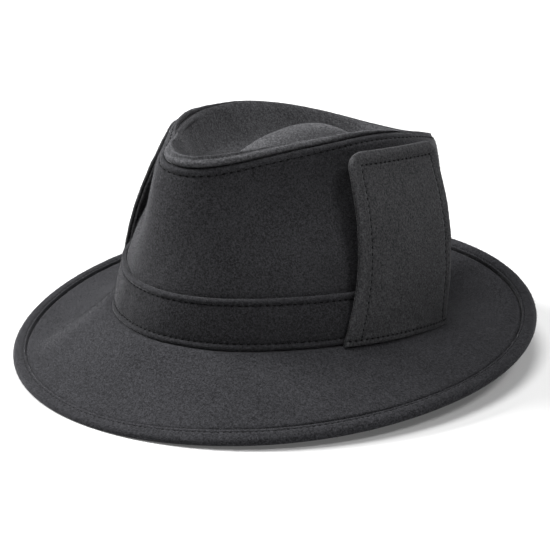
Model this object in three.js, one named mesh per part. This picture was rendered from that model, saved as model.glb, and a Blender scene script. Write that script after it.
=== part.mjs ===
// A felt hat with a pinched teardrop crown, a snap brim, a band of its own felt and two ear flaps
// turned up against the crown. Millimetres, +Z up. The wearer faces -Y and the wearer's left is +X.
// The origin lies on the resting surface, under the middle of the hat's length and width.
// Angles around the hat start at the front and grow towards the wearer's left.

import * as THREE from 'three';
import { LoftGeometry } from 'three/addons/geometries/LoftGeometry.js';
import { mergeVertices } from 'three/addons/utils/BufferGeometryUtils.js';

// Felt
const CROWN_WALL = 2.6;
const BRIM_THICKNESS = 3.4;
const BAND_THICKNESS = 2.2;
const FLAP_THICKNESS = 4.2;
const CLEARANCE = 0.3;

// Head opening, measured over the crown's felt
const HEAD_HALF_WIDTH = 83.1;
const HEAD_HALF_LENGTH = 100.4;

// Break, the line where the crown meets the brim
const BREAK_HEIGHT = 20.3;
const BREAK_SIDE_RISE = 3.5;
const BREAK_FRONT_DIP = 2.5;

// Crown, in its own upright frame, which leans back on the resting hat
const CROWN_LEAN = 9.4;
const CREST_HEIGHT = 100.1;
const CREST_SIDE_RISE = 6.9;
const CREST_FRONT_DIP = 1.5;
const CREST_HALF_WIDTH = 49.9;
const CREST_HALF_LENGTH = 96.0;
const CREST_TAPER = 0.19;
const PRESSED_CREST = 4.0;
const PRESSED_SIDE = 4.0;
const PRESSED_SEAM = 6.0;
const BELLY = 9.0;
const PINCH_DEPTH = 8.0;
const HOLLOW_DEPTH = 26.0;
const DOME_RISE = 2.6;
const DOME_SETBACK = 9.5;
const DOME_FALL = 26.0;
const DOME_HALF_WIDTH = 30.0;
const DOME_HALF_LENGTH = 66.0;
const DOME_BLEND = 6.0;
const SEAM_SHIFT = 5.0;

// Brim
const BRIM_HALF_WIDTH = 142.9;
const BRIM_FRONT_REACH = 155.4;
const BRIM_BACK_REACH = 139.4;
const BRIM_EDGE_HEIGHT = 13.2;
const BRIM_SWEEP = 13.0;
const BRIM_SIDE_DROP = 0.9;
const BRIM_DIP = 6.5;
const BRIM_EDGE_STRIP = 2.4;
const SEAT_MARGIN = 1.0;

// Band
const BAND_HEIGHT = 26.6;

// Ear flaps, their top edge a rise over the crest's height and a standoff outside its width
const FLAP_RISE = 1.1;
const FLAP_TOP_SLOPE = 3.9;
const FLAP_FRONT_ANGLE = 64.5;
const FLAP_BACK_ANGLE = 113;
const FLAP_TOP_FRONT_ANGLE = 70.5;
const FLAP_TOP_BACK_ANGLE = 100;
const FLAP_STANDOFF = 16.4;
const FLAP_TOP_HALF_LENGTH = 141;
const FLAP_TOP_SETBACK = 11.8;
const FLAP_BELLY = 6.2;
const FLAP_EDGE = 1.2;
const LEFT_FLAP_CORNER = 8.0;
const LEFT_FLAP_WAIST = 4.5;
const RIGHT_FLAP_CORNER = 4.0;
const RIGHT_FLAP_DROP = 4.0;

// How the crown changes around the hat: shares of the belly, the pinch, the hollow and the seam's shift
const AROUND = [
  { angle: 0, belly: 0.15, pinch: 0.0, hollow: 0.95, seam: -1.2 },
  { angle: 20, belly: 0.25, pinch: 0.1, hollow: 1.0, seam: -1.15 },
  { angle: 35, belly: 0.4, pinch: 0.45, hollow: 1.0, seam: -0.95 },
  { angle: 50, belly: 0.6, pinch: 0.85, hollow: 0.95, seam: -0.65 },
  { angle: 66, belly: 0.85, pinch: 1.0, hollow: 0.9, seam: -0.4 },
  { angle: 85, belly: 1.0, pinch: 0.6, hollow: 0.85, seam: -0.1 },
  { angle: 110, belly: 0.85, pinch: 0.1, hollow: 0.8, seam: 0.1 },
  { angle: 145, belly: 0.45, pinch: 0.0, hollow: 0.75, seam: 0.2 },
  { angle: 180, belly: 0.4, pinch: 0.0, hollow: 0.7, seam: 0.2 },
];

// What pressing the front right of the crown by hand changed there: shares of the shifts
const PRESSED = [
  { angle: -180, crest: 0.0, side: 0.0, seam: 0.0 },
  { angle: -110, crest: 0.0, side: 0.0, seam: 0.0 },
  { angle: -90, crest: 0.4, side: 0.0, seam: 0.2 },
  { angle: -66, crest: 1.0, side: 0.0, seam: 0.65 },
  { angle: -50, crest: 0.25, side: 0.25, seam: 0.8 },
  { angle: -34, crest: -0.7, side: 1.0, seam: 0.85 },
  { angle: -20, crest: -0.25, side: 0.7, seam: 0.1 },
  { angle: 0, crest: 0.0, side: 0.0, seam: 0.0 },
  { angle: 180, crest: 0.0, side: 0.0, seam: 0.0 },
];

// Sections up the crown's side, from the break to the crest
const SIDE = [
  { height: 0.0, belly: 0.0, pinch: 0.0, pressed: 0.0 },
  { height: 0.14, belly: 0.3, pinch: 0.0, pressed: 0.0 },
  { height: 0.28, belly: 0.55, pinch: 0.0, pressed: 0.05 },
  { height: 0.42, belly: 0.75, pinch: 0.2, pressed: 0.2 },
  { height: 0.55, belly: 0.9, pinch: 0.65, pressed: 0.4 },
  { height: 0.68, belly: 1.0, pinch: 1.0, pressed: 0.7 },
  { height: 0.8, belly: 1.0, pinch: 0.9, pressed: 0.95 },
  { height: 0.9, belly: 0.85, pinch: 0.45, pressed: 0.9 },
  { height: 0.96, belly: 0.55, pinch: 0.12, pressed: 0.2 },
  { height: 1.0, belly: 0.0, pinch: 0.0, pressed: 0.0 },
];

// Sections across the crown's tip, from the crest to the middle of the dome
const TIP = [
  { inset: 0.0, drop: 0.0 },
  { inset: 0.06, drop: 0.12 },
  { inset: 0.14, drop: 0.48 },
  { inset: 0.25, drop: 0.86 },
  { inset: 0.38, drop: 1.0 },
  { inset: 0.52, drop: 1.0 },
  { inset: 0.68, drop: 1.0 },
  { inset: 0.84, drop: 1.0 },
  { inset: 1.0, drop: 1.0 },
];

// How deep the brim sags between the band and its edge, as shares of the dip, once around the hat
const SAG = [
  { angle: 0, dip: 0.65 },
  { angle: 30, dip: -0.1 },
  { angle: 80, dip: 0.0 },
  { angle: 130, dip: 0.0 },
  { angle: 165, dip: -0.2 },
  { angle: 200, dip: 0.0 },
  { angle: 240, dip: 0.2 },
  { angle: 278, dip: 0.5 },
  { angle: 302, dip: 1.0 },
  { angle: 335, dip: 0.65 },
  { angle: 360, dip: 0.65 },
];

const STEPS_AROUND = 72;
const FLAP_STEPS = 14;
const FLAP_ROWS = 9;
const BRIM_ROWS = 7;
const ANGLE_STEP = 1e-3;
const PLACE_STEP = 0.06;
const CREST_STEP = 0.02;
const MERGE_DISTANCE = 1e-4;
const TINY = 1e-9;

// Reads a table column as a smooth curve, level at both ends
function column(rows, along, name) {
  const places = rows.map((row) => row[along]);
  const values = rows.map((row) => row[name]);
  const curve = new THREE.CubicInterpolant(places, values, 1);
  const level = { endingStart: THREE.ZeroSlopeEnding, endingEnd: THREE.ZeroSlopeEnding };
  curve.settings = level;
  return (place) => curve.evaluate(THREE.MathUtils.clamp(place, places[0], places.at(-1)))[0];
}

const aroundBelly = column(AROUND, 'angle', 'belly');
const aroundPinch = column(AROUND, 'angle', 'pinch');
const aroundHollow = column(AROUND, 'angle', 'hollow');
const aroundSeam = column(AROUND, 'angle', 'seam');
const sideBelly = column(SIDE, 'height', 'belly');
const sidePinch = column(SIDE, 'height', 'pinch');
const sidePressed = column(SIDE, 'height', 'pressed');
const pressedCrest = column(PRESSED, 'angle', 'crest');
const pressedSide = column(PRESSED, 'angle', 'side');
const pressedSeam = column(PRESSED, 'angle', 'seam');
const tipDrop = column(TIP, 'inset', 'drop');
const aroundDip = column(SAG, 'angle', 'dip');

const mix = THREE.MathUtils.lerp;
const radians = THREE.MathUtils.degToRad;

// The higher of two heights, with a soft change from one to the other
function higher(a, b, blend) {
  return (a + b + Math.hypot(a - b, blend)) / 2;
}

// Degrees from the front, from 0 to 180, for an angle in radians
function degreesFromFront(angle) {
  return THREE.MathUtils.radToDeg(Math.acos(THREE.MathUtils.clamp(Math.cos(angle), -1, 1)));
}

// A point on an oval around the head
function oval(angle, halfWidth, halfLength, setback = 0) {
  return new THREE.Vector2(halfWidth * Math.sin(angle), setback - halfLength * Math.cos(angle));
}

// The horizontal direction that leads straight out of the head oval
function outward(angle) {
  const slope = new THREE.Vector2(Math.sin(angle) / HEAD_HALF_WIDTH, -Math.cos(angle) / HEAD_HALF_LENGTH);
  return slope.normalize();
}

// Carries a point of the upright crown to where it is on the resting hat
function lean(point) {
  const axis = new THREE.Vector3(-1, 0, 0);
  const raised = point.clone().applyAxisAngle(axis, radians(CROWN_LEAN));
  return raised.setZ(raised.z + BREAK_HEIGHT);
}

function breakRise(angle) {
  return -BREAK_SIDE_RISE * Math.cos(2 * angle) - BREAK_FRONT_DIP * Math.cos(angle);
}

// A point at the break, a distance out from the crown's felt, in the upright crown's frame
function breakPoint(angle, out = 0) {
  const way = outward(angle);
  const plan = oval(angle, HEAD_HALF_WIDTH, HEAD_HALF_LENGTH).addScaledVector(way, out);
  return new THREE.Vector3(plan.x, plan.y, breakRise(angle));
}

// Degrees from the front, from -180 to 180, for an angle in radians
function signedDegrees(angle) {
  return THREE.MathUtils.radToDeg(Math.atan2(Math.sin(angle), Math.cos(angle)));
}

function crestPoint(angle) {
  const taper = 1 - CREST_TAPER * Math.cos(angle);
  const plan = oval(angle, CREST_HALF_WIDTH * taper, CREST_HALF_LENGTH);
  plan.addScaledVector(outward(angle), PRESSED_CREST * pressedCrest(signedDegrees(angle)));
  const rise = CREST_HEIGHT - CREST_SIDE_RISE * Math.cos(2 * angle) - CREST_FRONT_DIP * Math.cos(angle);
  return new THREE.Vector3(plan.x, plan.y, rise);
}

// The crown's outer face: place runs from 0 at the break to 1 at the crest and 2 at the middle of the dome
function crownFace(angle, place) {
  const around = degreesFromFront(angle);
  const crest = crestPoint(angle);
  if (place <= 1) {
    const way = outward(angle);
    const belly = BELLY * aroundBelly(around) * sideBelly(place);
    const pinch = PINCH_DEPTH * aroundPinch(around) * sidePinch(place);
    const pressed = PRESSED_SIDE * pressedSide(signedDegrees(angle)) * sidePressed(place);
    const point = breakPoint(angle).lerp(crest, place);
    return point.add(new THREE.Vector3(way.x, way.y, 0).multiplyScalar(belly - pinch + pressed));
  }
  const inset = place - 1;
  const floor = crest.z - HOLLOW_DEPTH * aroundHollow(around) * tipDrop(inset);
  const x = crest.x * (1 - inset);
  const y = mix(crest.y, DOME_SETBACK, inset);
  const spread = (x / DOME_HALF_WIDTH) ** 2 + ((y - DOME_SETBACK) / DOME_HALF_LENGTH) ** 2;
  const dome = CREST_HEIGHT + DOME_RISE - DOME_FALL * spread;
  return new THREE.Vector3(x, y, higher(floor, dome, DOME_BLEND * (1 - inset)));
}

// A point of the crown's outer face with the directions along its profile and square to it
function crownSpot(angle, place) {
  const point = crownFace(angle, place);
  const aside = crownFace(angle + ANGLE_STEP, place).sub(crownFace(angle - ANGLE_STEP, place));
  const low = Math.max(place - PLACE_STEP, 0);
  const high = Math.min(place + PLACE_STEP, 2);
  const along = crownFace(angle, high).sub(crownFace(angle, low)).normalize();
  const square = aside.cross(along);
  if (square.length() < TINY) {
    square.set(0, 0, 1);
  }
  return { point, along, square: square.normalize() };
}

// A point a distance under the crown's outer face, kept level at the break
function underCrownFace(angle, place, depth) {
  if (place === 0) {
    return breakPoint(angle, -depth);
  }
  const spot = crownSpot(angle, place);
  return spot.point.addScaledVector(spot.square, -depth);
}

// Where the seam between the side and the tip lies, as a place on the crown's face
function seamPlace(angle) {
  const even = SEAM_SHIFT * aroundSeam(degreesFromFront(angle));
  const shift = even + PRESSED_SEAM * pressedSeam(signedDegrees(angle));
  const span = shift < 0 ? CREST_HEIGHT : CREST_HALF_WIDTH;
  return 1 + shift / span;
}

// A point of the seam's edge: shift is how far it lies past the seam, towards the tip
function seamEdge(angle, depth, shift) {
  const spot = crownSpot(angle, seamPlace(angle));
  return spot.point.addScaledVector(spot.square, -depth).addScaledVector(spot.along, shift);
}

// A closed body from sections set side by side around the whole hat
function ringBody(section) {
  const sections = [];
  for (let i = 0; i <= STEPS_AROUND; i++) {
    const angle = (i % STEPS_AROUND) * 2 * Math.PI / STEPS_AROUND;
    sections.push(section(angle));
  }
  return outwardBody(new LoftGeometry(sections, { closed: true }));
}

// Merges shared corners, drops the faces that collapse and turns the rest outwards
function outwardBody(shape) {
  const geometry = new THREE.BufferGeometry().copy(shape);
  geometry.deleteAttribute('normal');
  geometry.deleteAttribute('uv');
  const body = mergeVertices(geometry, MERGE_DISTANCE);
  const corners = Array.from(body.getIndex().array);
  const kept = [];
  for (let i = 0; i < corners.length; i += 3) {
    const face = corners.slice(i, i + 3);
    if (new Set(face).size === 3) {
      kept.push(...face);
    }
  }
  body.setIndex(kept);
  if (volume(body) < 0) {
    body.setIndex(kept.toReversed());
  }
  body.computeVertexNormals();
  return body;
}

function volume(body) {
  const index = body.getIndex();
  const place = body.getAttribute('position');
  const a = new THREE.Vector3();
  const b = new THREE.Vector3();
  const c = new THREE.Vector3();
  let sum = 0;
  for (let i = 0; i < index.count; i += 3) {
    a.fromBufferAttribute(place, index.getX(i));
    b.fromBufferAttribute(place, index.getX(i + 1));
    c.fromBufferAttribute(place, index.getX(i + 2));
    sum += a.dot(b.cross(c)) / 6;
  }
  return sum;
}

// The crown's side wall, from the brim to the seam
function crownSide() {
  return ringBody((angle) => {
    const last = Math.min(seamPlace(angle) - CREST_STEP, 1);
    const face = (depth) => {
      const rows = SIDE.map((row) => underCrownFace(angle, row.height * last, depth));
      rows.push(seamEdge(angle, depth, -CLEARANCE / 2));
      return rows.map(lean);
    };
    return [...face(0), ...face(CROWN_WALL).toReversed()];
  });
}

// The tip, a teardrop panel sunk inside the crest around a low dome
function crownTip() {
  const first = (angle) => Math.max(seamPlace(angle) + CREST_STEP, 1);
  const ring = (point) => {
    const points = [];
    for (let i = 0; i < STEPS_AROUND; i++) {
      points.push(lean(point(i * 2 * Math.PI / STEPS_AROUND)));
    }
    return points;
  };
  const face = (depth) => [
    ring((angle) => seamEdge(angle, depth, CLEARANCE / 2)),
    ...TIP.map((row) => ring((angle) => underCrownFace(angle, mix(first(angle), 2, row.inset), depth))),
  ];
  return outwardBody(new LoftGeometry([...face(CROWN_WALL).toReversed(), ...face(0)], { closed: true }));
}

function brimEdge(angle) {
  const cosine = Math.cos(angle);
  const reach = cosine > 0 ? BRIM_FRONT_REACH : BRIM_BACK_REACH;
  const plan = oval(angle, BRIM_HALF_WIDTH, reach);
  const rise = BRIM_EDGE_HEIGHT - BRIM_SWEEP * cosine + BRIM_SIDE_DROP * Math.cos(2 * angle);
  return new THREE.Vector3(plan.x, plan.y, rise);
}

// A point in the middle of the brim's felt, level with the break
function brimSeat(angle, out) {
  const seat = lean(breakPoint(angle, out));
  return seat.setZ(seat.z - CLEARANCE - BRIM_THICKNESS / 2);
}

// Points in the middle of the brim's felt from beside the band to the edge, the last two a narrow strip apart
function brimMiddles(angle) {
  const seat = brimSeat(angle, CLEARANCE + BAND_THICKNESS + SEAT_MARGIN);
  const strip = BRIM_EDGE_STRIP / seat.distanceTo(brimEdge(angle));
  const shares = [];
  for (let row = 0; row < BRIM_ROWS; row++) {
    shares.push(row / BRIM_ROWS);
  }
  return [...shares, 1 - strip, 1].map((share) => brimMiddle(angle, seat, share));
}

// A point of the brim: share runs from 0 at its seat to 1 at its edge
function brimMiddle(angle, seat, share) {
  const point = seat.clone().lerp(brimEdge(angle), share);
  const dip = BRIM_DIP * aroundDip(THREE.MathUtils.radToDeg(angle));
  return point.setZ(point.z - dip * 4 * share * (1 - share));
}

// The brim, one sheet around the head opening, with its felt pressed flat where it rests
function brim() {
  return ringBody((angle) => {
    const middles = [brimSeat(angle, -CROWN_WALL), ...brimMiddles(angle)];
    const half = BRIM_THICKNESS / 2;
    const top = middles.map((point) => point.clone().setZ(point.z + half));
    const under = middles.map((point) => point.clone().setZ(Math.max(point.z - half, 0)));
    return [...top, ...under.toReversed()];
  });
}

// The band, wrapped around the crown's foot under the flaps
function hatBand() {
  const rows = 4;
  return ringBody((angle) => {
    const crest = crestPoint(angle);
    const rise = crest.z - breakRise(angle);
    const section = [];
    for (const depth of [-CLEARANCE - BAND_THICKNESS, -CLEARANCE]) {
      const face = [];
      for (let row = 0; row < rows; row++) {
        const place = BAND_HEIGHT / rise * row / (rows - 1);
        face.push(lean(underCrownFace(angle, place, depth)));
      }
      section.push(...(depth < -CLEARANCE ? face : face.toReversed()));
    }
    return section;
  });
}

function flapHeight(drop = 0) {
  return CREST_HEIGHT + FLAP_RISE - drop;
}

// A left flap's face: across runs from 0 at its front edge to 1 at its back, up from 0 at its foot to 1 on top.
// The drop lowers its top edge and the waist draws the middle of its front edge back.
function flapFace(across, up, depth, drop, waist) {
  const place = across + waist / flapTopWidth() * Math.sin(Math.PI * up) * (1 - across);
  const foot = radians(mix(FLAP_FRONT_ANGLE, FLAP_BACK_ANGLE, place));
  const head = radians(mix(FLAP_TOP_FRONT_ANGLE, FLAP_TOP_BACK_ANGLE, place));
  const out = CLEARANCE + BAND_THICKNESS + CLEARANCE + FLAP_THICKNESS - depth;
  const way = outward(foot);
  const plan = oval(head, CREST_HALF_WIDTH + FLAP_STANDOFF, FLAP_TOP_HALF_LENGTH, FLAP_TOP_SETBACK);
  plan.addScaledVector(way, -depth);
  const rise = flapHeight(drop) + FLAP_TOP_SLOPE * (across - 0.5);
  const point = breakPoint(foot, out).lerp(new THREE.Vector3(plan.x, plan.y, rise), up);
  const belly = FLAP_BELLY * Math.sin(Math.PI * up);
  return point.add(new THREE.Vector3(way.x, way.y, 0).multiplyScalar(belly));
}

function flapTopWidth() {
  return FLAP_TOP_HALF_LENGTH * radians(FLAP_TOP_BACK_ANGLE - FLAP_TOP_FRONT_ANGLE);
}

// How far a rounded top corner cuts into the flap's height
function cornerCut(across, corner) {
  const run = Math.min(across, 1 - across) * flapTopWidth();
  const into = THREE.MathUtils.clamp(corner - run, 0, corner);
  return corner - Math.sqrt(corner ** 2 - into ** 2);
}

// A left ear flap, two layers of felt turned up against the crown, closed along its side edges
function earFlap(corner, drop, waist) {
  const edge = FLAP_EDGE / flapTopWidth();
  const upright = (across, outerDepth, innerDepth) => {
    const reach = 1 - cornerCut(across, corner) / flapHeight();
    const face = [];
    const inside = [];
    for (let row = 0; row < FLAP_ROWS; row++) {
      const up = reach * row / (FLAP_ROWS - 1);
      face.push(lean(flapFace(across, up, outerDepth, drop, waist)));
      inside.unshift(lean(flapFace(across, up, innerDepth, drop, waist)));
    }
    return [...face, ...inside];
  };
  const middle = FLAP_THICKNESS / 2;
  const sections = [upright(-edge, middle, middle)];
  for (let i = 0; i <= FLAP_STEPS; i++) {
    sections.push(upright((1 - Math.cos(Math.PI * i / FLAP_STEPS)) / 2, 0, FLAP_THICKNESS));
  }
  sections.push(upright(1 + edge, middle, middle));
  return outwardBody(new LoftGeometry(sections, { closed: true }));
}

// A left piece turned into a right one
function mirrored(geometry) {
  return outwardBody(geometry.applyMatrix4(new THREE.Matrix4().makeScale(-1, 1, 1)));
}

function felt(color) {
  return new THREE.MeshStandardMaterial({ color, roughness: 0.95, metalness: 0 });
}

const hat = new THREE.Group();
hat.position.y = (BRIM_FRONT_REACH - BRIM_BACK_REACH) / 2;

function add(name, geometry, color) {
  const piece = new THREE.Mesh(geometry, felt(color));
  piece.name = name;
  hat.add(piece);
}

add('crown_side', crownSide(), 0x303033);
add('crown_tip', crownTip(), 0x38383b);
add('brim', brim(), 0x38383c);
add('hat_band', hatBand(), 0x2a2a2d);
add('ear_flap_left', earFlap(LEFT_FLAP_CORNER, 0, LEFT_FLAP_WAIST), 0x3a3a3c);
add('ear_flap_right', mirrored(earFlap(RIGHT_FLAP_CORNER, RIGHT_FLAP_DROP, 0)), 0x3a3a3c);

export default hat;
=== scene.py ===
"""Looks of a charcoal felt hat with a pinched teardrop crown, a snap brim, a band and two ear flaps.

Shapes are worked out in millimetres, in the hat's own frame, and written in metres. The wearer faces -Y.
"""

import logging
import math
from dataclasses import dataclass, field
from enum import Enum
from typing import Sequence

import bmesh
import bpy
import numpy as np
from mathutils import Matrix, Vector, noise


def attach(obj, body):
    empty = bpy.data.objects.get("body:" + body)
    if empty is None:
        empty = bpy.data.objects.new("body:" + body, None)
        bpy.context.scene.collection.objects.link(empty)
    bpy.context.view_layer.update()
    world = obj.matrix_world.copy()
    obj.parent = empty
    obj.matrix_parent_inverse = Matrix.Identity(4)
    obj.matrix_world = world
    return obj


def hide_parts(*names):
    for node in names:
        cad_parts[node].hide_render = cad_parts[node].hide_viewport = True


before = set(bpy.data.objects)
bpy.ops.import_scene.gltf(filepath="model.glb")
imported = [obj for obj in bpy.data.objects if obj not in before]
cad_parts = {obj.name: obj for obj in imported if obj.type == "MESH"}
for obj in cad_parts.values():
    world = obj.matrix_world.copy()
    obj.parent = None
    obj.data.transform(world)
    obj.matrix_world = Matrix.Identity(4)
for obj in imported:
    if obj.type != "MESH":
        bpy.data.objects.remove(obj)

log = logging.getLogger("hat")

MM = 0.001
STEPS_AROUND = 400
NOISE_REACH = 1.6
WELD = 1e-6
SLIVER = 1e-7
BODY = "root"

Array = np.ndarray
Triple = tuple[float, float, float]


@dataclass(frozen=True)
class Curve:
    """A smooth curve through chosen values, level at both ends."""

    places: Sequence[float]
    values: Sequence[float]

    def __call__(self, at: Array) -> Array:
        """Reads the curve.

        Args:
            at: the places to read it at.

        Returns:
            The curve's values there.
        """
        places = np.asarray(self.places, dtype=float)
        values = np.asarray(self.values, dtype=float)
        secants = np.diff(values) / np.diff(places)
        slopes = np.zeros_like(values)
        slopes[1:-1] = (secants[1:] + secants[:-1]) / 2
        at = np.clip(at, places[0], places[-1])
        left = np.clip(np.searchsorted(places, at, side="right") - 1, 0, len(places) - 2)
        span = places[left + 1] - places[left]
        t = (at - places[left]) / span
        rise = values[left + 1] - values[left]
        start = slopes[left] * span
        end = slopes[left + 1] * span
        bend = 3 * rise - 2 * start - end
        return values[left] + t * (start + t * (bend + t * (start + end - 2 * rise)))


def unit(vectors: Array) -> Array:
    """Scales vectors to length one."""
    return vectors / np.maximum(np.linalg.norm(vectors, axis=-1, keepdims=True), 1e-9)


def smooth(t: Array) -> Array:
    """A soft step from 0 to 1 as t goes from 0 to 1."""
    t = np.clip(t, 0, 1)
    return t * t * (3 - 2 * t)


def hump(distance: Array, width: float) -> Array:
    """A soft bump of height 1 around distance 0."""
    return np.exp(-((distance / width) ** 2))


def wrapped(angle: Array) -> Array:
    """The same angle between minus and plus half a turn."""
    return (angle + math.pi) % (2 * math.pi) - math.pi


def rounded(depth: Array, radius: float) -> Array:
    """How far a rounded edge falls back, from the radius at the edge to 0 past the radius."""
    into = np.clip(radius - depth, 0, radius)
    return radius - np.sqrt(np.maximum(radius**2 - into**2, 0))


def squares(surface: Array, closed: bool) -> Array:
    """Directions square to a surface.

    Args:
        surface: points in rows, each row running around the hat.
        closed: whether each row is a whole ring.

    Returns:
        A unit vector for each point.
    """
    if closed:
        around = np.roll(surface, -1, axis=1) - np.roll(surface, 1, axis=1)
    else:
        around = np.gradient(surface, axis=1)
    along = np.gradient(surface, axis=0)
    return unit(np.cross(around, along))


@dataclass(frozen=True)
class Waves:
    """Soft uneven waves over a face: their height, their length and what shifts the pattern."""

    height: float
    length: float
    shift: float

    def __call__(self, points: Array) -> Array:
        """Reads the waves.

        Args:
            points: where to read them, in millimetres.

        Returns:
            Their heights there.
        """
        flat = points.reshape(-1, 3) / self.length + self.shift
        heights = np.array([noise.noise(Vector(point)) for point in flat]) * NOISE_REACH
        return self.height * heights.reshape(points.shape[:-1])


def uneven(points: Array, layers: Sequence[Waves]) -> Array:
    """The sum of several layers of waves."""
    return sum(layer(points) for layer in layers)


def angles() -> Array:
    """Angles around the hat, from the front towards the wearer's left."""
    return np.arange(STEPS_AROUND) * 2 * math.pi / STEPS_AROUND


def front_degrees(angle: Array) -> Array:
    """Degrees from the front, 0 to 180 to either side."""
    return np.degrees(np.arccos(np.clip(np.cos(angle), -1, 1)))


def lifted(points: Array, ways: Array, heights: Array) -> Array:
    """Points moved by a height each along their ways."""
    return points + ways * heights[..., None]


def blend(start: Array, end: Array, share: Array) -> Array:
    """Points a share of the way from the start to the end."""
    return start * (1 - share[..., None]) + end * share[..., None]


def arch(distance: Array, width: float) -> Array:
    """A rounded roll of height 1 between distance 0 and the width."""
    return np.sin(np.pi * np.clip(distance / width, 0, 1))


def nearest(values: Array, wanted: float) -> int:
    """Where the value nearest to the wanted one stands."""
    return int(np.argmin(np.abs(values - wanted)))


@dataclass(frozen=True)
class Ridge:
    """A soft ridge beside an edge: its strength, its distance from the edge and its width."""

    strength: float
    at: float
    width: float

    def __call__(self, distance: Array) -> Array:
        """The ridge's strength at distances from the edge."""
        return self.strength * hump(distance - self.at, self.width)


@dataclass(frozen=True)
class HeadLine:
    """The oval around the head and the break, the line where the crown meets the brim."""

    half_width: float = 83.1
    half_length: float = 100.4
    height: float = 20.3
    side_rise: float = 3.5
    front_dip: float = 2.5
    lean: float = math.radians(9.4)
    forward: float = 8.0

    def outward(self, angle: Array) -> Array:
        """The level direction straight out of the oval."""
        x = np.sin(angle) / self.half_width
        y = -np.cos(angle) / self.half_length
        return unit(np.stack([x, y, 0 * angle], -1))

    def upright(self, angle: Array, out: float | Array = 0.0) -> Array:
        """A point at the break in the upright crown's frame.

        Args:
            angle: angles around the hat.
            out: distance out from the crown's felt.

        Returns:
            The points.
        """
        rise = -self.side_rise * np.cos(2 * angle) - self.front_dip * np.cos(angle)
        oval = [self.half_width * np.sin(angle), -self.half_length * np.cos(angle), rise]
        return lifted(np.stack(oval, -1), self.outward(angle), np.asarray(out))

    def placed(self, points: Array) -> Array:
        """Carries points of the upright crown to where they are on the resting hat.

        Args:
            points: points in the upright crown's frame.

        Returns:
            The same points on the resting hat.
        """
        x, y, z = points[..., 0], points[..., 1], points[..., 2]
        cosine, sine = math.cos(self.lean), math.sin(self.lean)
        leaned_y = y * cosine + z * sine + self.forward
        leaned_z = z * cosine - y * sine + self.height
        return np.stack([x, leaned_y, leaned_z], -1)


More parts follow.
